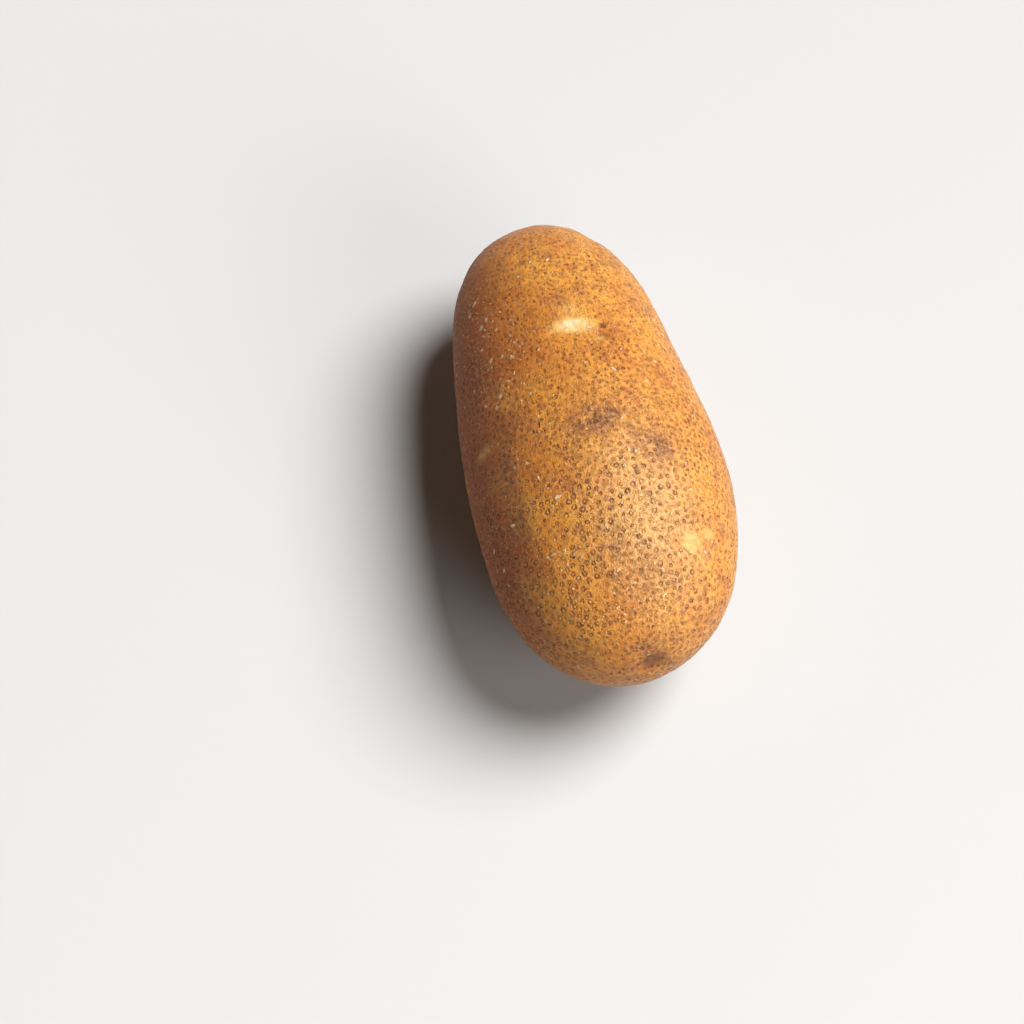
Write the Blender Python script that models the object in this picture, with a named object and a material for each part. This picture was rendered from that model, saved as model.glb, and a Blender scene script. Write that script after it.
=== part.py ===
"""A whole russet potato, lying on the small flat that it settled on.

One solid, in metres. The long axis is X, with the broad end at +X, and +Z is up.
The origin is under the middle of the body, on the surface that the potato rests on.
"""

import math

import bmesh
import bpy
from mathutils import Matrix, Vector

# Overall size, measured between parallel plates.
LENGTH = 0.134
WIDTH = 0.069
HEIGHT = 0.060

# Form of the body, as shares that leave the overall size alone.
BLUNTNESS = 0.22  # how much fuller the ends are than an ellipsoid's
TAPER = 0.17  # how much wider the body is towards its broad end
SIDE_TAPER = 0.09  # how much taller it is towards that end
TAPER_EASE = 0.82  # share of each taper that dies away at the two ends
SIDE_BOW = 0.0010  # how far the ends bend towards -Y
BACK_BOW = 0.0014  # how far the ends rise above the middle
NOSE_DOWN = 2.0  # degrees that the narrow end dips, so the flat is under the weight

# The flat that the potato rests on.
FLAT_DEPTH = 0.0009  # how much of the round underside it takes away
FLAT_EDGE = 0.0003  # height over which it rolls into the side

# Broad swells (+) and flats (-): where along the body, the angle around it from the
# top towards +Y, the reach along, the reach around, and the height.
SWELLS = (
    (0.45, 25, 0.030, 0.026, 0.0012),
    (-0.30, -40, 0.026, 0.024, -0.0010),
    (-0.55, 150, 0.026, 0.022, 0.0012),
    (0.30, -115, 0.030, 0.024, -0.0014),
    (0.72, -60, 0.022, 0.022, 0.0010),
    (-0.35, 75, 0.024, 0.020, -0.0008),
    (0.15, 120, 0.026, 0.020, 0.0010),
)

# Eyes: where along the body, the angle around it, and the width across the body.
EYES = (
    (-0.37, 8, 0.014),
    (0.03, -63, 0.010),
    (0.61, 40, 0.012),
    (-0.50, 122, 0.012),
    (0.16, 165, 0.011),
    (-0.22, -140, 0.012),
    (0.62, -108, 0.010),
    (0.14, 98, 0.010),
    (-0.84, -75, 0.008),
    (-0.88, 60, 0.008),
    (-0.82, 175, 0.009),
)
# The rest of each eye, as shares of its width.
EYE_LENGTH = 0.32  # reach of the hollow along the body
EYE_DEPTH = 0.08
BROW_HEIGHT = 0.05  # ridge on the bud side of the hollow
BROW_OFFSET = 0.40  # from the middle of the hollow to its ridge

# The scar where the stolon grew, a round dimple on the broad end.
SCAR_ALONG = 0.985
SCAR_AROUND = 19
SCAR_REACH = 0.0048
SCAR_DEPTH = 0.0010

# Mesh of the body: quads along it and across each of its other two ways.
CELLS_LONG = 36
CELLS_ACROSS = 18
CAGE_STRETCH = 1.7  # length of the cage over its width, which evens the quads

SKIN_COLOUR = (0.52, 0.27, 0.095, 1.0)
SKIN_ROUGHNESS = 0.55


def clear_scene():
    for item in list(bpy.data.objects):
        bpy.data.objects.remove(item, do_unlink=True)


def body_point(along, across, up):
    """The smooth body's surface at a unit direction (along, across, up)."""
    bend = along**2
    fullness = 1 + BLUNTNESS * bend
    widening = along - TAPER_EASE * along**3
    return Vector((
        LENGTH / 2 * along,
        WIDTH / 2 * across * (fullness + TAPER * widening) - SIDE_BOW * bend,
        HEIGHT / 2 * up * (fullness + SIDE_TAPER * widening) + BACK_BOW * bend,
    ))


def place_on_body(along, angle):
    """A surface point with its outward, lengthwise and round-the-body directions."""
    ring = math.sqrt(1 - along**2)
    turn = math.radians(angle)
    step = 0.01

    def at(station, bearing):
        radius = math.sqrt(1 - station**2)
        return body_point(station, radius * math.sin(bearing), radius * math.cos(bearing))

    point = at(along, turn)
    around = (at(along, turn + step) - at(along, turn - step)).normalized()
    lengthwise = (at(along + step * ring, turn) - at(along - step * ring, turn)).normalized()
    outward = lengthwise.cross(around).normalized()
    if outward.dot(point) < 0:
        outward.negate()
    lengthwise = (lengthwise - around * lengthwise.dot(around)).normalized()
    return point, outward, lengthwise, around


def round_cage():
    """A box of quads pushed out onto the unit sphere, as a bmesh."""
    bm = bmesh.new()
    bmesh.ops.create_cube(bm, size=2)
    for axis, cells in enumerate((CELLS_LONG, CELLS_ACROSS, CELLS_ACROSS)):
        edges = [e for e in bm.edges if abs((e.verts[1].co - e.verts[0].co)[axis]) > 1e-6]
        bmesh.ops.subdivide_edges(bm, edges=edges, cuts=cells - 1, use_grid_fill=True)
    for vert in bm.verts:
        even = [math.tan(value * math.pi / 4) for value in vert.co]
        vert.co = Vector((even[0] * CAGE_STRETCH, even[1], even[2])).normalized()
    return bm


def press(bm, place, reach_along, reach_around, height):
    """Raise or sink the skin in a soft oval around a place on the body."""
    point, outward, lengthwise, around = place
    for vert in bm.verts:
        if vert.normal.dot(outward) < 0.2:
            continue
        offset = vert.co - point
        spread = (offset.dot(lengthwise) / reach_along) ** 2
        spread += (offset.dot(around) / reach_around) ** 2
        vert.co += vert.normal * height * math.exp(-spread)
    bm.normal_update()


def add_eye(bm, along, angle, width):
    """One eye: a crosswise hollow with a low brow on its bud side."""
    point, outward, lengthwise, around = place_on_body(along, angle)
    brow = point - lengthwise * BROW_OFFSET * width
    reach = EYE_LENGTH * width
    press(bm, (point, outward, lengthwise, around), reach, width / 2, -EYE_DEPTH * width)
    press(bm, (brow, outward, lengthwise, around), reach, width / 2, BROW_HEIGHT * width)


def fit_to_size(bm):
    """Bring the bounding box to the overall size, with the flat's plane at z = 0."""
    low = Vector([min(v.co[axis] for v in bm.verts) for axis in range(3)])
    high = Vector([max(v.co[axis] for v in bm.verts) for axis in range(3)])
    wanted = Vector((LENGTH, WIDTH, HEIGHT + FLAT_DEPTH))
    floor = Vector((-LENGTH / 2, -WIDTH / 2, -FLAT_DEPTH))
    for vert in bm.verts:
        for axis in range(3):
            share = (vert.co[axis] - low[axis]) / (high[axis] - low[axis])
            vert.co[axis] = floor[axis] + share * wanted[axis]


def settled(height):
    """A height after the underside has flattened against z = 0."""
    if height <= -FLAT_EDGE:
        return 0.0
    if height < FLAT_EDGE:
        return (height + FLAT_EDGE) ** 2 / (4 * FLAT_EDGE)
    return height


def skin_material():
    material = bpy.data.materials.new("potato_skin")
    material.use_nodes = True
    material.diffuse_color = SKIN_COLOUR
    shader = material.node_tree.nodes["Principled BSDF"]
    shader.inputs["Base Color"].default_value = SKIN_COLOUR
    shader.inputs["Roughness"].default_value = SKIN_ROUGHNESS
    shader.inputs["Metallic"].default_value = 0.0
    return material


def build_potato():
    bm = round_cage()
    for vert in bm.verts:
        vert.co = body_point(*vert.co)
    bm.normal_update()
    for along, angle, reach_along, reach_around, height in SWELLS:
        press(bm, place_on_body(along, angle), reach_along, reach_around, height)
    for along, angle, width in EYES:
        add_eye(bm, along, angle, width)
    press(bm, place_on_body(SCAR_ALONG, SCAR_AROUND), SCAR_REACH, SCAR_REACH, -SCAR_DEPTH)
    dip = Matrix.Rotation(math.radians(-NOSE_DOWN), 3, "Y")
    bmesh.ops.rotate(bm, verts=bm.verts, cent=(0, 0, 0), matrix=dip)
    fit_to_size(bm)
    for vert in bm.verts:
        vert.co.z = settled(vert.co.z)
    bmesh.ops.recalc_face_normals(bm, faces=bm.faces)

    mesh = bpy.data.meshes.new("potato")
    bm.to_mesh(mesh)
    bm.free()
    mesh.shade_smooth()
    mesh.materials.append(skin_material())
    potato = bpy.data.objects.new("potato", mesh)
    bpy.context.scene.collection.objects.link(potato)
    return potato


clear_scene()
build_potato()
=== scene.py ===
"""A whole russet potato with netted skin, lenticels, eyes and a stem scar, on a studio floor."""

import math
from collections import defaultdict

import bmesh
import bpy
import numpy as np
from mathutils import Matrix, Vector, noise
from mathutils.bvhtree import BVHTree
from mathutils.kdtree import KDTree


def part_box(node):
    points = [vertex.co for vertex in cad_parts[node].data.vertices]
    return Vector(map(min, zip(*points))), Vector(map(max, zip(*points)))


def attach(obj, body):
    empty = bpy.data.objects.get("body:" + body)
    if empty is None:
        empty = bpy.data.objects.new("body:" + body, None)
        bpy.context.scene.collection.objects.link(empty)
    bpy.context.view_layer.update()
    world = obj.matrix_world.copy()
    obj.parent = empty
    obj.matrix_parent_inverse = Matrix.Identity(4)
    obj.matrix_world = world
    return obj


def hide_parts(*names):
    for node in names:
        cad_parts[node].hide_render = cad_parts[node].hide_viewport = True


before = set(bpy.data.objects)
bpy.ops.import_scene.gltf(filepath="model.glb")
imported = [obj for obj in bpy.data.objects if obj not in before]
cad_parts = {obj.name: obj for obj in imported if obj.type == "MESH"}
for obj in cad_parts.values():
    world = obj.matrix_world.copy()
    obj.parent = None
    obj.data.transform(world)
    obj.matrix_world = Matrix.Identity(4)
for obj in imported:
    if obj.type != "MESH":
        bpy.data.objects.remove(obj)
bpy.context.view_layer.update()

bl_info = {
    "name": "Russet Potato",
    "version": (1, 0, 0),
    "blender": (4, 5, 0),
    "location": "View3D > Sidebar > Potato",
    "description": "Models a whole raw potato and the plain studio it lies in",
    "category": "Object",
}

BODY = "potato"
MM = 0.001
PER_MM = 1000.0

# Grid of the skin: quads along the body and across each of its four long sides.
CELLS_LONG = 208
CELLS_ACROSS = 90
END_ANGLE = math.radians(60)  # how far towards the ends the long sides reach
SIDE_ANGLE = math.radians(45)  # how far round the body each of them reaches
RELAX_ROUNDS = 24
TINY = 1e-6  # an edge that spans less than this along an axis runs across it
FACING = 0.1  # least cosine at which a point faces the same way as a spot

# How the flattened skin is laid out, as shares of the map: four long strips and two end caps.
STRIP_LENGTH = 0.8
STRIP_HEIGHT = 0.25
CAP_HEIGHT = 0.5
GUTTER = 0.003

# The body's gentle lumps: their size in metres, their share of the unevenness, and a seed.
LUMPS = ((0.019, 1.0, 1), (0.0060, 0.30, 2), (0.0022, 0.12, 4))

# Eyes: distance along the body from its middle, angle around it from the top towards +Y,
# width across the body, tilt, the side on which the notch and its painted shade lie, how marked
# it is, and how dark the painted shade in the crease under its brow is. Distances are in mm and
# angles in degrees.
EYES = (
    (-25.2, 4, 12.5, -9, 1, 1.0, 0.0),
    (1.2, -66, 8.5, 0, -1, 0.5, 0.0),
    (40.1, 38, 8.5, -10, -1, 0.5, 0.0),
    (-32.9, 124, 11.0, 8, -1, 0.80, 0.85),
    (11.8, 165, 10.0, -6, 1, 0.75, 0.85),
    (-13.9, -138, 11.0, 12, 1, 0.80, 0.80),
    (41.8, -103, 9.0, -15, -1, 0.60, 0.75),
    (9.6, 99, 9.0, 5, 1, 0.60, 0.80),
    (-56.3, -83, 6.5, 0, 1, 0.35, 0.50),
    (-59.1, 67, 6.5, 0, -1, 0.35, 0.50),
    (-54.1, 179, 8.0, 10, 1, 0.7, 0.75),
)
MODEL_EYE = 3.8  # half the width, in mm, of the eye whose heights eye_relief gives
BUDS = (-0.40, 0.10, 0.42)  # where an eye's buds lie, as shares of half its width
SCAR = (65.0, 4, 5.8)  # the stem scar: distance along, angle, radius
SCAR_CREASES = 9

# Scuffs: distance along, angle, reach along and across, and strength.
SCUFFS = (
    (-33.0, 2, 2.6, 5.0, 0.40),
    (3.5, 2, 4.2, 8.5, 1.15),
    (9.0, 20, 2.5, 3.5, 0.55),
    (14.0, 29, 4.2, 4.8, 1.0),
    (38.0, -8, 10.0, 4.5, 0.55),
    (48.0, 8, 6.0, 6.0, 0.55),
    (10.0, -52, 5.0, 4.0, 0.75),
    (-2.0, -44, 4.0, 5.0, 0.45),
    (-20.0, -60, 10.0, 4.0, 0.75),
    (62.5, 3, 1.6, 4.5, 0.75),
    (26.0, -50, 8.0, 4.0, 0.40),
    (-22.0, -95, 8.0, 5.0, 0.7),
    (30.0, 140, 9.0, 6.0, 0.8),
    (-8.0, 170, 5.0, 8.0, 0.6),
    (22.0, -140, 6.0, 9.0, 0.7),
    (-45.0, 130, 5.0, 5.0, 0.6),
)

# Bare spots, where the skin is young and smooth: as scuffs.
BARE = (
    (-29.5, 3, 3.6, 4.6, 0.34),
    (40.3, 36, 3.4, 3.1, 0.74),
    (38.4, 48, 2.4, 2.6, 0.56),
    (43.0, 44, 5.5, 5.0, 0.28),
    (0.5, -62, 2.2, 4.0, 0.40),
    (-20.5, 17, 1.0, 1.8, 0.6),
    (26.0, -119, 3.0, 2.0, 0.3),
    (-30.0, 152, 3.0, 3.5, 0.35),
)

# Zones, seen from the top: middle, reach, and the height where they stop, in mm.
NETTED_CROWN_AND_SHEEN = ((32, 7.5), (23, 12), 30)  # where the skin is most netted, and where its pale wash is painted sheen
SMOOTH_FLANK = ((40, 27), (30, 8), 25)  # where the lenticels are finer again
SHOULDER = ((-36, -20), (24, 12))  # where the flecks lie close together
TIP_START, TIP_LENGTH = 48, 14  # where the lenticels shrink towards the stem scar

# Marks are put at face centres, each moved at random by up to a jog.
JOG = 0.2  # in mm
LENTICEL_SEED = 10
FLECK_SEED = 20
LEAST_FLECK = 0.17 * MM  # radius
FLECK_GROWTH = 0.48 * MM  # how much more the largest flecks have
FULL_FLECK = 0.5 * MM  # radius from which a fleck stands at its full height
BUMP_DEPTH = 0.33 * MM  # how deep the fine bump in the material looks
HALVES = (0.5, 0.5, 0.5)  # taken off a random colour, these leave a random direction

# The stage, in metres and in the body's frame.
FLOOR_REACH = 6.0
FLOOR_ROUGHNESS = 0.8
KEY_PLACE = (-0.14, 0.76, 1.10)
FILL_PLACE = (0.95, 0.62, 0.60)
FILL_SIZE = (0.9, 0.6)
WALL_TOP, SKY_START = 0.08, 0.24  # sines of the angles above the horizon
CAMERA_AIM = (0.0104, -0.0235, 0.0237)
SENSOR_WIDTH = 36.0  # in mm
NEAR_CLIP = 0.01


def colour(name, description, default):
    return bpy.props.FloatVectorProperty(
        name=name, description=description, default=default, subtype="COLOR", size=3, min=0, max=1
    )


def distance(name, description, default):
    return bpy.props.FloatProperty(
        name=name, description=description, default=default, unit="LENGTH", min=0, precision=5
    )


def share(name, description, default):
    return bpy.props.FloatProperty(
        name=name, description=description, default=default, subtype="FACTOR", min=0, max=1
    )


def rotation(name, description, degrees):
    return bpy.props.FloatProperty(
        name=name, description=description, default=math.radians(degrees), unit="ROTATION"
    )


class PotatoSkinSettings(bpy.types.PropertyGroup):
    """Colours and sizes of the skin."""

    gold: colour("Gold", "The skin where it is thinnest", (0.74, 0.305, 0.030))
    tan: colour("Tan", "The skin where it is corkier", (0.63, 0.215, 0.018))
    # Redder, darker skin of one flank: partly its own colour, partly painted shade.
    ruddy_and_painted_shade: colour("Ruddy", "The redder skin of one flank", (0.375, 0.060, 0.003))
    rust: colour("Rust", "Warm blotches in the skin", (0.36, 0.094, 0.014))
    dull: colour("Dull", "The duller skin low on the body", (0.41, 0.152, 0.038))
    # Pale netting, also used for painted sheen and painted glints.
    net_and_sheen: colour("Net", "Pale netting between the lenticels", (0.91, 0.57, 0.27))
    speck: colour("Speck", "Fine brown specks", (0.175, 0.045, 0.019))
    lenticel: colour("Lenticel", "Dark rims of the lenticels", (0.140, 0.040, 0.026))
    scuff: colour("Scuff", "Greyed cork where the skin was rubbed", (0.165, 0.066, 0.038))
    young: colour("Young skin", "Thin skin round the eyes", (0.76, 0.45, 0.135))
    eye: colour("Eye", "The palest skin, in the eyes", (0.83, 0.66, 0.42))
    # Pale flakes of cork: partly their own colour, partly painted highlight.
    fleck: colour("Fleck", "Raised flakes of cork", (0.95, 0.70, 0.38))
    # Also the colour of the painted shade in the eyes' notches and creases.
    scar: colour("Scar", "Dead cork of the stem scar", (0.19, 0.060, 0.020))
    fine_spacing: distance("Fine spacing", "Between lenticels at the narrow end", 0.0014)
    coarse_spacing: distance("Coarse spacing", "Between lenticels at the broad end", 0.0019)
    lenticel_depth: distance("Lenticel depth", "How deep a lenticel's pit is", 0.00008)
    fleck_spacing: distance("Fleck spacing", "Least distance between raised flecks", 0.0031)
    fleck_height: distance("Fleck height", "How far a fleck stands proud", 0.00020)
    unevenness: distance("Unevenness", "Height of the body's gentle lumps", 0.00045)
    roughness: share("Roughness", "Roughness of the skin between its marks", 0.34)


class PotatoStageSettings(bpy.types.PropertyGroup):
    """The floor, the lights and the camera."""

    floor: colour("Floor", "Colour of the floor", (0.56, 0.56, 0.555))
    key_strength: bpy.props.FloatProperty(
        name="Key strength", description="Strength of the main light", default=4.95, min=0
    )
    key_spread: rotation("Key spread", "How wide the main light is, which softens shadows", 36)
    fill_power: bpy.props.FloatProperty(
        name="Fill power", description="Power of the fill light", default=8.0, unit="POWER", min=0
    )
    sky: colour("Sky", "The dim light from above", (0.050, 0.038, 0.028))
    wall: colour("Wall", "The pale walls seen past the floor", (0.58, 0.57, 0.56))
    azimuth: rotation("Azimuth", "The camera's bearing", 76.7)
    elevation: rotation("Elevation", "How far above the horizon the camera stands", 68)
    camera_distance: distance("Camera distance", "From the camera to what it aims at", 0.9)
    lens: bpy.props.FloatProperty(
        name="Lens", description="Focal length", default=118.6, subtype="DISTANCE_CAMERA", min=1
    )


class Socket:
    """A node's output. Its operators add the Math nodes that work the sum out."""

    def __init__(self, graph, output):
        self.graph = graph
        self.output = output

    def __add__(self, other):
        return self.graph.math("ADD", self, other)

    def __radd__(self, other):
        return self.graph.math("ADD", other, self)

    def __sub__(self, other):
        return self.graph.math("SUBTRACT", self, other)

    def __rsub__(self, other):
        return self.graph.math("SUBTRACT", other, self)

    def __mul__(self, other):
        return self.graph.math("MULTIPLY", self, other)

    def __rmul__(self, other):
        return self.graph.math("MULTIPLY", other, self)

    def __truediv__(self, other):
        return self.graph.math("DIVIDE", self, other)

    def __rtruediv__(self, other):
        return self.graph.math("DIVIDE", other, self)

    def __abs__(self):
        return self.graph.math("ABSOLUTE", self)

    def other(self, output):
        """Another output of the same node."""
        return Socket(self.graph, self.output.node.outputs[output])


class Graph:
    """Adds nodes to one material or sky and gives their outputs as Sockets."""

    def __init__(self, owner):
        owner.use_nodes = True
        self.tree = owner.node_tree
        self.tree.nodes.clear()

    def node(self, kind, settings=None, inputs=None, output=0):
        """One node: its settings are set first, then its sockets' values and links."""
        node = self.tree.nodes.new("ShaderNode" + kind)
        for name, value in (settings or {}).items():
            setattr(node, name, value)
        for key, value in (inputs or {}).items():
            if isinstance(value, Socket):
                self.tree.links.new(value.output, node.inputs[key])
            else:
                node.inputs[key].default_value = value
        return Socket(self, node.outputs[output]) if len(node.outputs) else None

    def output(self, shader, kind="OutputMaterial"):
        self.node(kind, {}, {"Surface": shader})

    def math(self, operation, *values):
        return self.node("Math", {"operation": operation}, dict(enumerate(values)))

    def vector(self, operation, *values, output=0):
        return self.node("VectorMath", {"operation": operation}, dict(enumerate(values)), output)

    def scaled(self, vector, factor):
        return self.node("VectorMath", {"operation": "SCALE"}, {0: vector, "Scale": factor})

    def mix(self, factor, first, second):
        """Two colours mixed; a plain colour is given as three numbers."""
        pair = [c if isinstance(c, Socket) else (*c, 1.0) for c in (first, second)]
        settings = {"data_type": "RGBA", "clamp_factor": True}
        return self.node("Mix", settings, {0: factor, 6: pair[0], 7: pair[1]}, output=2)

    def step(self, value, low, high):
        """0 where value is below low, 1 above high, and smooth between them."""
        settings = {"interpolation_type": "SMOOTHSTEP"}
        return self.node("MapRange", settings, {0: value, 1: low, 2: high})

    def noise(self, at, scale, detail=2.0, roughness=0.5):
        inputs = {"Vector": at, "Scale": scale, "Detail": detail, "Roughness": roughness}
        return self.node("TexNoise", {}, inputs)

    def attribute(self, name):
        return self.node("Attribute", {"attribute_name": name}, {}, "Vector")

    def parts(self, vector):
        """The three numbers of a vector."""
        split = self.node("SeparateXYZ", {}, {0: vector})
        return [split.other(axis) for axis in range(3)]


# ---------------------------------------------------------------- the body's shape


def box_grid():
    """A cube of quads, finer along X, with its corners at -1 and 1."""
    bm = bmesh.new()
    bmesh.ops.create_cube(bm, size=2)
    for axis, cells in enumerate((CELLS_LONG, CELLS_ACROSS, CELLS_ACROSS)):
        edges = [e for e in bm.edges if abs((e.verts[1].co - e.verts[0].co)[axis]) > TINY]
        bmesh.ops.subdivide_edges(bm, edges=edges, cuts=cells - 1, use_grid_fill=True)
    mesh = bpy.data.meshes.new(BODY + "_skin")
    bm.to_mesh(mesh)
    bm.free()
    return mesh


def coordinates(mesh):
    flat = np.empty(len(mesh.vertices) * 3, np.float32)
    mesh.vertices.foreach_get("co", flat)
    return flat.reshape(-1, 3).astype(float)


def set_coordinates(mesh, points):
    mesh.vertices.foreach_set("co", points.astype(np.float32).ravel())
    mesh.update()


def normals_of(mesh):
    flat = np.empty(len(mesh.vertices) * 3, np.float32)
    mesh.vertex_normals.foreach_get("vector", flat)
    return flat.reshape(-1, 3).astype(float)


def ovoid(grid):
    """The cube's points pushed out to an ellipsoid that fills the body's box."""
    low, high = (np.array(corner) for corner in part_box(BODY))
    angles = np.array((END_ANGLE, SIDE_ANGLE, SIDE_ANGLE))
    outward = np.tan(grid * angles)
    outward /= np.linalg.norm(outward, axis=1, keepdims=True)
    return (low + high) / 2 + outward * (high - low) / 2


def lay_out_skin(mesh, grid):
    """The UV map: four strips for the long sides, one under another, and two end caps."""
    corners = np.empty(len(mesh.loops), np.int32)
    mesh.loops.foreach_get("vertex_index", corners)
    faces = grid[corners].reshape(-1, 4, 3)
    side = np.abs(faces.mean(1)).argmax(1)
    positive = faces.mean(1)[np.arange(len(faces)), side] > 0
    unit = (faces + 1) / 2
    at = np.empty((len(faces), 4, 2))
    for axis in range(3):
        across = [other for other in range(3) if other != axis]
        for sign in (False, True):
            chosen = (side == axis) & (positive == sign)
            if axis == 0:
                corner = np.array((STRIP_LENGTH, CAP_HEIGHT * sign))
                room = np.array((1 - STRIP_LENGTH, CAP_HEIGHT))
            else:
                corner = np.array((0, STRIP_HEIGHT * (2 * (axis - 1) + sign)))
                room = np.array((STRIP_LENGTH, STRIP_HEIGHT))
            at[chosen] = corner + GUTTER + unit[chosen][:, :, across] * (room - 2 * GUTTER)
    layer = mesh.uv_layers.new(name="OFBake")
    layer.uv.foreach_set("vector", at.astype(np.float32).ravel())


def settled_mesh(skin, target):
    """Draws the skin's points onto the solid and relaxes the solid's flat facets away."""
    wrap = skin.modifiers.new("wrap", "SHRINKWRAP")
    wrap.target = target
    wrap.wrap_method = "NEAREST_SURFACEPOINT"
    relax = skin.modifiers.new("relax", "SMOOTH")
    relax.factor = 0.5
    relax.iterations = RELAX_ROUNDS
    graph = bpy.context.evaluated_depsgraph_get()
    mesh = bpy.data.meshes.new_from_object(skin.evaluated_get(graph))
    skin.modifiers.clear()
    skin.data = mesh
    return mesh


class Surface:
    """The smooth body before its relief, for placing marks on it."""

    def __init__(self, mesh):
        self.points = coordinates(mesh)
        self.normals = normals_of(mesh)
        polygons = [tuple(p.vertices) for p in mesh.polygons]
        self.tree = BVHTree.FromPolygons(self.points.tolist(), polygons)
        self.middle = (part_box(BODY)[0].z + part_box(BODY)[1].z) / 2

    def spot(self, along_mm, angle):
        """A point on the skin with its outward, lengthwise and crosswise directions."""
        turn = math.radians(angle)
        start = Vector((along_mm * MM, 0, self.middle))
        way = Vector((0, math.sin(turn), math.cos(turn)))
        point, outward, _, _ = self.tree.ray_cast(start, way)
        if point is None:
            raise RuntimeError(f"no skin at {along_mm} mm, {angle} degrees")
        if outward.dot(way) < 0:
            outward.negate()
        lengthwise = (Vector((1, 0, 0)) - outward * outward.x).normalized()
        crosswise = outward.cross(lengthwise)
        return [np.array(v) for v in (point, outward, lengthwise, crosswise)]

    def local(self, along_mm, angle):
        """Every vertex seen from a spot: how far lengthwise and crosswise it lies, in mm, and
        whether it faces the same way."""
        point, outward, lengthwise, crosswise = self.spot(along_mm, angle)
        offset = (self.points - point) / MM
        facing = self.normals @ outward > FACING
        return offset @ lengthwise, offset @ crosswise, facing


def soft(x, y=0.0):
    """A round hill of height 1 and radius about 1."""
    return np.exp(-(x**2) - y**2)


def eye_relief(surface, eye):
    """One eye: a lens-shaped hollow under a brow, with a lip, buds, and a notch with a dip
    at one end. Gives its height, its pale skin, the painted shade in its notch and in the crease
    under its brow, and the rust tint of its dip, partly painted shade.
    Places and reaches in it are shares of half the eye's width."""
    along_mm, angle, width, tilt, notch_side, strength, crease_shade = eye
    v, u, facing = surface.local(along_mm, angle)
    half, turn = width / 2, math.radians(tilt)
    v, u = v * math.cos(turn) + u * math.sin(turn), u * math.cos(turn) - v * math.sin(turn)
    v, u = v / half, u / half * notch_side
    arc = v - 0.16 * u**2
    ends = soft(u * 0.95) * facing
    hollow = -0.26 * soft((arc - 0.22) / 0.22) * ends
    brow = 0.34 * soft((arc + 0.20) / 0.26) * ends
    lip = 0.16 * soft((arc - 0.62) / 0.20) * ends
    notch = -0.55 * soft((u - 1.20) / 0.17, (v + 0.02) / 0.19) * facing
    dip = -0.36 * soft((u - 1.10) / 0.40, (v - 0.45) / 0.26) * facing
    buds = sum(0.10 * soft((u - bud) / 0.09, (arc + 0.02) / 0.08) for bud in BUDS) * facing
    height = (hollow + brow + lip + notch + dip + buds) * half / MODEL_EYE * strength * MM
    pale = soft((u + 0.06) / 0.92, (arc + 0.04) / 0.40) * facing * strength
    # Painted shade: darker in the notch, and in the crease under the brow.
    shade = soft((u - 1.22) / 0.20, (v + 0.02) / 0.20) * facing * strength
    shade = np.maximum(shade, crease_shade * soft((arc - 0.20) / 0.13) * soft(u * 0.9) * facing)
    # Rust tint in the dip: partly the skin's own colour, partly painted shade.
    dip_rust_and_shade = soft((u - 1.12) / 0.42, (v - 0.42) / 0.32) * facing * strength
    return height, pale, shade, dip_rust_and_shade


def scar_relief(surface):
    """The stem scar: a dimple with radial creases and a stub of dead cork in it.
    Gives its height and where it is dead."""
    along_mm, angle, radius = SCAR
    v, u, facing = surface.local(along_mm, angle)
    v, u = v / radius, u / radius
    away = np.hypot(u, v)
    creases = np.cos(np.arctan2(u, v) * SCAR_CREASES + 3 * away)
    height = (-0.55 * soft(away / 0.55) + 0.10 * soft((away - 0.95) / 0.3)) * facing
    height += 0.05 * creases * soft((away - 0.6) / 0.3) * facing
    height += 0.25 * soft(away / 0.16) * facing
    return height * MM, soft(away / 0.78) * facing


def patches(surface, places):
    """Soft-edged patches laid over one another."""
    total = np.zeros(len(surface.points))
    for along_mm, angle, long_reach, cross_reach, strength in places:
        v, u, facing = surface.local(along_mm, angle)
        total = np.maximum(total, strength * soft(v / long_reach, u / cross_reach) * facing)
    return total


def lumps(points, size, seed):
    """Smooth noise, about -1 to 1, whose lumps are size across."""
    shift = Vector((seed * 17.3, seed * 5.1, seed * 9.7))
    return np.array([noise.noise(Vector(p) / size + shift) for p in points.tolist()])


def scatter(points, reaches, seed):
    """Picks points so that none lies within another's reach, in a random order."""
    cell = reaches.max()
    keys = np.floor(points / cell).astype(int)
    taken = defaultdict(list)
    around = [(i, j, k) for i in (-1, 0, 1) for j in (-1, 0, 1) for k in (-1, 0, 1)]
    chosen = []
    for index in np.random.default_rng(seed).permutation(len(points)):
        x, y, z = keys[index]
        place = points[index]
        near = [n for i, j, k in around for n in taken.get((x + i, y + j, z + k), ())]
        if near:
            gaps = np.linalg.norm(points[near] - place, axis=1)
            if gaps.min() < reaches[index]:
                continue
        taken[(x, y, z)].append(index)
        chosen.append(index)
    return np.array(chosen)


def face_centres(mesh):
    flat = np.empty(len(mesh.polygons) * 3, np.float32)
    mesh.polygons.foreach_get("center", flat)
    return flat.reshape(-1, 3).astype(float)


def add_vector(mesh, name, domain, values):
    layer = mesh.attributes.new(name, "FLOAT_VECTOR", domain)
    layer.data.foreach_set("vector", values.astype(np.float32).ravel())


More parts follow.
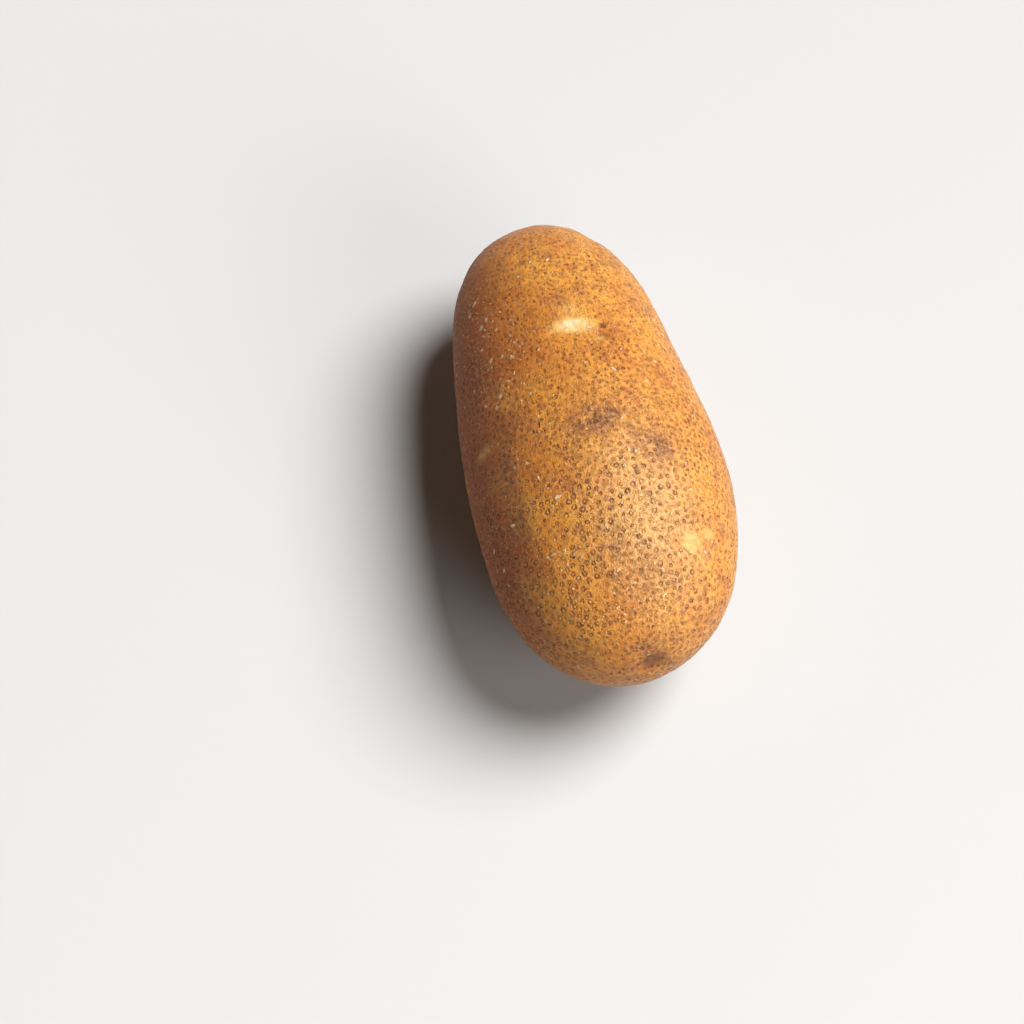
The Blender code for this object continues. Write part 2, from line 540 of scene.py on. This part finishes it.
class Marks:
    """Round marks scattered over the skin. Each face stores the two nearest for the material."""

    def __init__(self, mesh, points, name, centres, looks):
        """looks has a row for each mark; its first number is the mark's radius in metres."""
        tree = KDTree(len(centres))
        for number, centre in enumerate(centres):
            tree.insert(centre, number)
        tree.balance()
        middles = face_centres(mesh).tolist()
        owners = np.array([[hit[1] for hit in tree.find_n(p, 2)] for p in middles])
        for rank in (0, 1):
            add_vector(mesh, f"{name}_at_{rank}", "FACE", centres[owners[:, rank]])
            add_vector(mesh, f"{name}_look_{rank}", "FACE", looks[owners[:, rank]])
        nearest = np.array([tree.find(p)[1] for p in points.tolist()])
        self.away = np.linalg.norm(points - centres[nearest], axis=1)
        self.radius = looks[nearest, 0]


def hill(points, middle, reach, above=-math.inf):
    """1 over a place seen from the top, falling to 0 round it and below a height."""
    x, y, z = (points / MM).T
    return soft((x - middle[0]) / reach[0], (y - middle[1]) / reach[1]) * (z > above)


def coarseness(points):
    """How large the lenticels are: 0 at the smooth narrow end to 1."""
    low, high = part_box(BODY)
    along = np.clip((points[:, 0] - low.x) / (high.x - low.x) * 1.3 - 0.1, 0, 1)
    drifts = np.clip(0.85 + 0.50 * lumps(points, 0.024, 6), 0, 1)
    tip = np.clip((points[:, 0] / MM - TIP_START) / TIP_LENGTH, 0, 1)
    coarse = np.maximum(along * drifts, hill(points, *NETTED_CROWN_AND_SHEEN))
    return np.clip(coarse - 0.6 * hill(points, *SMOOTH_FLANK) - 0.4 * tip, 0, 1)


def scattered(middles, seed):
    """The face centres moved a little at random, so that no row of the grid shows."""
    return middles + np.random.default_rng(seed).uniform(-JOG, JOG, middles.shape) * MM


def lenticels(mesh, points, settings):
    """Lenticels all over, larger, further apart and ringed where the skin is coarse."""
    middles = scattered(face_centres(mesh), LENTICEL_SEED)
    coarse = coarseness(middles)
    spacing = settings.fine_spacing + (settings.coarse_spacing - settings.fine_spacing) * coarse
    spacing *= 1 + 0.18 * lumps(middles, 0.008, 3)
    chosen = scatter(middles, spacing, LENTICEL_SEED + 1)
    random = np.random.default_rng(LENTICEL_SEED + 2)
    coarse, count = coarse[chosen], len(chosen)
    grown = np.clip(coarse * 1.6, 0, 1)
    radius = spacing[chosen] * ((0.25 + 0.16 * grown) * random.uniform(0.65, 1.20, count))
    drifts = np.clip(0.75 + 0.7 * lumps(middles[chosen], 0.016, 8), 0.35, 1)
    darkness = random.uniform(0.40, 1.0, count) * np.maximum(drifts, grown)
    ring = np.clip(coarse * 2.2 - 0.60 + random.normal(0, 0.22, count), 0, 1)
    return Marks(mesh, points, "lenticel", middles[chosen], np.stack([radius, darkness, ring], 1))


def flecks(mesh, points, settings):
    """Flakes of cork here and there, closer together on one shoulder."""
    middles = scattered(face_centres(mesh), FLECK_SEED)
    spacing = settings.fleck_spacing * (1 + 1.1 * lumps(middles, 0.014, 5))
    spacing *= 1.15 - 0.68 * hill(middles, *SHOULDER)
    spacing = np.maximum(spacing, 0.38 * settings.fleck_spacing)
    chosen = scatter(middles, spacing, FLECK_SEED + 1)
    random = np.random.default_rng(FLECK_SEED + 2)
    count = len(chosen)
    radius = LEAST_FLECK + FLECK_GROWTH * random.uniform(0, 1, count) ** 6
    paleness = random.uniform(0.45, 1.0, count)
    looks = np.stack([radius, paleness, np.zeros(count)], 1)
    return Marks(mesh, points, "fleck", middles[chosen], looks)


def raise_relief(mesh, settings):
    """Moves the smooth skin in and out, and stores what the material reads."""
    surface = Surface(mesh)
    points = surface.points
    height, pale, shade, dip_rust_and_shade = np.zeros((4, len(points)))
    for size, part, seed in LUMPS:
        height += settings.unevenness * part * lumps(points, size, seed)
    for eye in EYES:
        rise, *tints = eye_relief(surface, eye)
        height += rise
        pale, shade, dip_rust_and_shade = np.maximum((pale, shade, dip_rust_and_shade), tints)
    rise, dead = scar_relief(surface)
    height += rise
    scuffed = patches(surface, SCUFFS)
    pale = np.maximum(pale, patches(surface, BARE))

    spots = lenticels(mesh, points, settings)
    reach = spots.away / spots.radius
    pit = 0.5 * soft((reach - 0.9) / 0.4) - soft(reach / 0.6)
    height += settings.lenticel_depth * pit * coarseness(points) * (1 - pale)
    flakes = flecks(mesh, points, settings)
    size = np.clip(flakes.radius / FULL_FLECK, 0.3, 1)
    height += settings.fleck_height * size * soft(flakes.away / flakes.radius / 1.1)

    add_vector(mesh, "rest", "POINT", points)
    add_vector(mesh, "zones", "POINT", np.stack([scuffed, hill(points, *NETTED_CROWN_AND_SHEEN), dead], 1))
    add_vector(mesh, "eyes", "POINT", np.stack([pale, shade, dip_rust_and_shade], 1))
    moved = points + surface.normals * height[:, None]
    moved[:, 2] = np.maximum(moved[:, 2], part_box(BODY)[0].z)
    set_coordinates(mesh, moved)


# ---------------------------------------------------------------- the skin's material


def mark(g, at, name, rank):
    """One of the two nearest marks: the gap to its centre in mm, that as a share of its radius,
    a random lean from -1 to 1 round it, and its other two numbers."""
    centre = g.scaled(g.attribute(f"{name}_at_{rank}"), PER_MM)
    radius, second, third = g.parts(g.attribute(f"{name}_look_{rank}"))
    offset = g.vector("SUBTRACT", at, centre)
    gap = g.vector("LENGTH", offset, output=1)
    dice = g.vector("SUBTRACT", g.node("TexWhiteNoise", {}, {0: centre}, "Color"), HALVES)
    way, heavy = g.vector("NORMALIZE", offset), g.vector("NORMALIZE", dice)
    lean = g.vector("DOT_PRODUCT", way, heavy, output=1)
    return gap, gap / (radius * PER_MM), lean, second, third


def lenticel_rims(g, at):
    """Dark rims, each heavier on one side, their pale middles, partly painted glints, and how
    much nearer in mm the nearest lenticel is than the next."""
    gaps, rim, core_and_glint = [], 0.0, 0.0
    for rank in (0, 1):
        gap, reach, lean, darkness, ring = mark(g, at, "lenticel", rank)
        middle = (1 - g.step(reach, 0.15, 0.72)) * ring
        edge = (1 - g.step(reach, 0.60, 1.30)) * (1 - middle * 0.95) * (1 + lean * 0.50)
        rim = g.math("MAXIMUM", edge * darkness, rim)
        core_and_glint = g.math("MAXIMUM", middle * darkness, core_and_glint)
        gaps.append(gap)
    return rim, core_and_glint, abs(gaps[0] - gaps[1])


def cork_flakes(g, at):
    """Flecks longer one way than the other, pale partly as painted highlight, and the painted
    shadow round them.
    """
    fleck, painted_fleck_shadow = 0.0, 0.0
    for rank in (0, 1):
        _, reach, lean, paleness, _ = mark(g, at, "fleck", rank)
        reach = reach * (1.38 - abs(lean) * 0.80)
        fleck = g.math("MAXIMUM", (1 - g.step(reach, 0.60, 1.15)) * paleness, fleck)
        painted_fleck_shadow = g.math("MAXIMUM", (1 - g.step(reach, 1.1, 1.8)) * paleness, painted_fleck_shadow)
    return fleck, painted_fleck_shadow


def dots(g, at, scale, edge, chosen):
    """Round dots in some of the cells of a random pattern, with a soft edge."""
    cells = g.node("TexVoronoi", {}, {"Vector": at, "Scale": scale}, "Distance")
    return (1 - g.step(cells, *edge)) * g.step(cells.other("Color"), *chosen)


def ground_colour(g, rest, bent, settings, ruddy_and_painted_shade, grain):
    """Gold and tan in slow drifts, redder and darker on one flank, partly the skin's own colour
    and partly painted shade, duller low on the body, with rust blotches and a fine brown grain."""
    drift = g.step(g.noise(rest, 0.055, 3.0, 0.55), 0.36, 0.62)
    rise = g.parts(rest)[2]
    low = g.step(43 - rise + (g.noise(rest, 0.09, 3.0) - 0.5) * 34, 0.0, 26.0)
    blotch = g.step(g.noise(rest, 0.21, 3.0, 0.6), 0.46, 0.70)
    mottle = g.step(g.noise(bent, 0.42, 3.0, 0.65), 0.48, 0.66)
    ground = g.mix(drift, settings.gold, settings.tan)
    for cover, tint in (
        (ruddy_and_painted_shade, settings.ruddy_and_painted_shade),
        (low * 0.65, settings.dull),
        (blotch * 0.52, settings.rust),
        (g.step(grain, 0.50, 0.66) * 0.50, settings.rust),
        (mottle * 0.45, settings.rust),
    ):
        ground = g.mix(cover, ground, tint)
    return ground


def skin_material(settings):
    material = bpy.data.materials.new("potato_skin")
    g = Graph(material)
    rest = g.scaled(g.attribute("rest"), PER_MM)
    wobble = g.node("TexNoise", {}, {"Vector": rest, "Scale": 1.7, "Detail": 2.0}, "Color")
    bent = g.vector("ADD", rest, g.scaled(g.vector("SUBTRACT", wobble, HALVES), 0.95))
    scuffed, crown_and_sheen, dead = g.parts(g.attribute("zones"))
    pale, crease_shade, dip_rust_and_shade = g.parts(g.attribute("eyes"))
    bare = 1 - pale

    x, y, _ = g.parts(rest)
    # Redder and darker towards -Y: partly the skin's own colour, partly painted shade on that
    # flank.
    ruddy_and_painted_shade = g.step(0 - y - x * 0.16 + (g.noise(rest, 0.07, 3.0) - 0.5) * 26, 11.0, 31.0) * 0.90
    grain = g.noise(bent, 1.0, 4.0, 0.68)
    ground = ground_colour(g, rest, bent, settings, ruddy_and_painted_shade, grain)

    # marks: lenticels with pale middles, fine specks with finer pale ones among them, both partly
    # painted glints, and flakes of cork, pale partly as painted highlight
    rim, core_and_glint, apart = lenticel_rims(g, bent)
    rim, core_and_glint = rim * bare, core_and_glint * bare
    speck = dots(g, bent, 1.0, (0.18, 0.42), (0.30, 0.75)) * (1 - crown_and_sheen * 0.5) * bare
    pale_specks_and_glints = dots(g, bent, 0.8, (0.12, 0.30), (0.45, 0.75))
    fleck, painted_fleck_shadow = cork_flakes(g, bent)

    # the net: pale skin midway between lenticels, partly painted sheen on the crown, and pale
    # threads all over, partly painted glints
    broken = g.step(g.noise(bent, 1.3, 3.0, 0.6), 0.38, 0.58)
    between = 1 - g.step(apart, 0.0, 0.90)
    net_and_sheen = between * broken * (crown_and_sheen * 0.90 + 0.10 + scuffed * 0.30)
    # Pale threads: partly young skin, partly painted glints.
    thread_and_glint = 1 - g.step(abs(g.noise(bent, 1.25, 2.0, 0.5) - 0.5), 0.0, 0.050)
    thread_and_glint = thread_and_glint * g.step(g.noise(rest, 0.6, 2.0), 0.42, 0.58)

    # wear and eyes: greyed scuffs, and pale skin with a ragged edge
    grey = scuffed * g.step(g.noise(bent, 0.45, 4.0, 0.65), 0.38, 0.58)
    ragged = pale + (g.noise(bent, 0.55, 3.0) - 0.5) * pale * 1.6
    rim_tint = g.mix(crown_and_sheen, settings.speck, settings.lenticel)

    skin = ground
    for cover, tint in (
        # A pale wash over the crown: partly the paler netted skin, partly painted sheen.
        (crown_and_sheen * 0.40, settings.net_and_sheen),
        (thread_and_glint * 0.45, settings.young),
        (net_and_sheen * 0.90, settings.net_and_sheen),
        # Specks darker on that flank: painted shade.
        (speck * (ruddy_and_painted_shade * 0.25 + 0.68), settings.speck),
        (grey * 0.82, settings.scuff),
        (rim * (crown_and_sheen * 0.16 + 0.70), rim_tint),
        # Pale lenticel middles: partly their own colour, partly painted glints.
        (core_and_glint * (crown_and_sheen * 0.40 + 0.30), settings.net_and_sheen),
        # Finer pale specks: partly their own colour, partly painted glints, more of them on the
        # painted-shade flank.
        (pale_specks_and_glints * (ruddy_and_painted_shade * 0.30 + 0.48), settings.net_and_sheen),
        # Rust tint in the eyes' dips: partly their own colour, partly painted shade.
        (dip_rust_and_shade * 0.75, settings.rust),
        (g.step(ragged, 0.05, 0.65) * 0.70, settings.young),
        (g.step(ragged, 0.50, 1.20) * 0.75, settings.eye),
        # Painted shadow round the raised flecks.
        (painted_fleck_shadow * 0.20, settings.lenticel),
        # Fleck colour: partly pale cork, partly painted highlight.
        (fleck * 0.90, settings.fleck),
        (g.step(dead + (grain - 0.5) * 0.8, 0.15, 1.00) * 0.80, settings.scar),
        # Painted shade in the eyes' notches and creases.
        (g.step(crease_shade + (grain - 0.5) * 1.2, 0.35, 0.9) * 0.85, settings.scar),
    ):
        skin = g.mix(cover, skin, tint)

    gloss = settings.roughness + ruddy_and_painted_shade * 0.28 - crown_and_sheen * 0.10 + rim * 0.20 + grey * 0.10
    gloss = gloss + (grain - 0.5) * 0.25
    height = (net_and_sheen + thread_and_glint) * 0.6 - rim * 0.9 + core_and_glint * 0.9 + fleck - speck * 0.6 + pale_specks_and_glints * 0.6
    height = (height + (g.noise(rest, 2.2, 4.0, 0.65) - 0.5) * 1.0) * (1 - pale * 0.75)
    bump = {"Strength": 1.0, "Distance": BUMP_DEPTH, "Height": height}
    inputs = {"Base Color": skin, "Roughness": gloss, "Specular IOR Level": 0.30}
    inputs["Normal"] = g.node("Bump", {}, bump, "Normal")
    g.output(g.node("BsdfPrincipled", {}, inputs, "BSDF"))
    return material


class POTATO_OT_body(bpy.types.Operator):
    """Model the potato's skin over its solid, with its eyes, scar and marks"""

    bl_idname = "potato.body"
    bl_label = "Potato body"

    def execute(self, context):
        settings = context.scene.potato_skin
        mesh = box_grid()
        grid = coordinates(mesh)
        lay_out_skin(mesh, grid)
        set_coordinates(mesh, ovoid(grid))
        skin = bpy.data.objects.new(BODY + "_skin", mesh)
        context.scene.collection.objects.link(skin)
        mesh = settled_mesh(skin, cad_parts[BODY])
        raise_relief(mesh, settings)
        mesh.shade_smooth()
        mesh.materials.clear()
        mesh.materials.append(skin_material(settings))
        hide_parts(BODY)
        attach(skin, "root")
        return {"FINISHED"}


# ---------------------------------------------------------------- the stage


def floor_material(settings):
    material = bpy.data.materials.new("floor")
    g = Graph(material)
    inputs = {"Base Color": (*settings.floor, 1.0), "Roughness": FLOOR_ROUGHNESS}
    g.output(g.node("BsdfPrincipled", {}, inputs))
    return material


def add_floor(context, settings):
    bm = bmesh.new()
    bmesh.ops.create_grid(bm, x_segments=1, y_segments=1, size=FLOOR_REACH)
    mesh = bpy.data.meshes.new("floor")
    bm.to_mesh(mesh)
    bm.free()
    mesh.materials.append(floor_material(settings))
    floor = bpy.data.objects.new("floor", mesh)
    floor.location.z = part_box(BODY)[0].z
    context.scene.collection.objects.link(floor)


def stand(context, data, place, way):
    """Puts a light or a camera at a place, pointed along way."""
    thing = bpy.data.objects.new(data.name, data)
    thing.location = place
    thing.rotation_mode = "QUATERNION"
    thing.rotation_quaternion = way.to_track_quat("-Z", "Y")
    context.scene.collection.objects.link(thing)
    return thing


def add_key_light(context, settings, aim):
    """A broad, soft light that falls on the whole floor alike."""
    data = bpy.data.lights.new("key", "SUN")
    data.energy = settings.key_strength
    data.angle = settings.key_spread
    stand(context, data, KEY_PLACE, aim - Vector(KEY_PLACE))


def add_fill_light(context, settings, aim):
    """A weaker light from a soft box, beyond the broad end."""
    data = bpy.data.lights.new("fill", "AREA")
    data.shape = "RECTANGLE"
    data.size, data.size_y = FILL_SIZE
    data.energy = settings.fill_power
    stand(context, data, FILL_PLACE, aim - Vector(FILL_PLACE))


def add_sky(context, settings):
    """Pale walls just above the horizon, which give way to a dim warm sky."""
    world = bpy.data.worlds.new("studio")
    g = Graph(world)
    rise = g.parts(g.node("TexCoord", {}, {}, "Generated"))[2]
    tint = g.mix(g.step(rise, WALL_TOP, SKY_START), settings.wall, settings.sky)
    g.output(g.node("Background", {}, {"Color": tint, "Strength": 1.0}), "OutputWorld")
    context.scene.world = world


def add_camera(context, settings):
    turn, rise = settings.azimuth, settings.elevation
    level = math.cos(rise)
    back = Vector((math.sin(turn) * level, -math.cos(turn) * level, math.sin(rise)))
    data = bpy.data.cameras.new("camera")
    data.sensor_width = SENSOR_WIDTH
    data.lens = settings.lens
    data.clip_start = NEAR_CLIP
    place = Vector(CAMERA_AIM) + back * settings.camera_distance
    context.scene.camera = stand(context, data, place, -back)


class POTATO_OT_stage(bpy.types.Operator):
    """Make the pale floor, the soft lights and the camera"""

    bl_idname = "potato.stage"
    bl_label = "Studio"

    def execute(self, context):
        settings = context.scene.potato_stage
        low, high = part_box(BODY)
        middle = (low + high) / 2
        add_floor(context, settings)
        add_key_light(context, settings, middle)
        add_fill_light(context, settings, middle)
        add_sky(context, settings)
        add_camera(context, settings)
        context.scene.view_settings.view_transform = "Standard"
        return {"FINISHED"}


class POTATO_PT_sidebar(bpy.types.Panel):
    """Lists the potato's pieces and their settings"""

    bl_label = "Potato"
    bl_space_type = "VIEW_3D"
    bl_region_type = "UI"
    bl_category = "Potato"

    def draw(self, context):
        scene = context.scene
        for operator, settings in (
            (POTATO_OT_body, scene.potato_skin),
            (POTATO_OT_stage, scene.potato_stage),
        ):
            box = self.layout.box()
            box.operator(operator.bl_idname)
            for name in settings.__annotations__:
                box.prop(settings, name)


CLASSES = (
    PotatoSkinSettings,
    PotatoStageSettings,
    POTATO_OT_body,
    POTATO_OT_stage,
    POTATO_PT_sidebar,
)


def register():
    for cls in CLASSES:
        bpy.utils.register_class(cls)
    bpy.types.Scene.potato_skin = bpy.props.PointerProperty(type=PotatoSkinSettings)
    bpy.types.Scene.potato_stage = bpy.props.PointerProperty(type=PotatoStageSettings)


def unregister():
    del bpy.types.Scene.potato_skin
    del bpy.types.Scene.potato_stage
    for cls in reversed(CLASSES):
        bpy.utils.unregister_class(cls)


def main():
    register()
    bpy.ops.potato.body()
    bpy.ops.potato.stage()


if __name__ == "__main__":
    main()
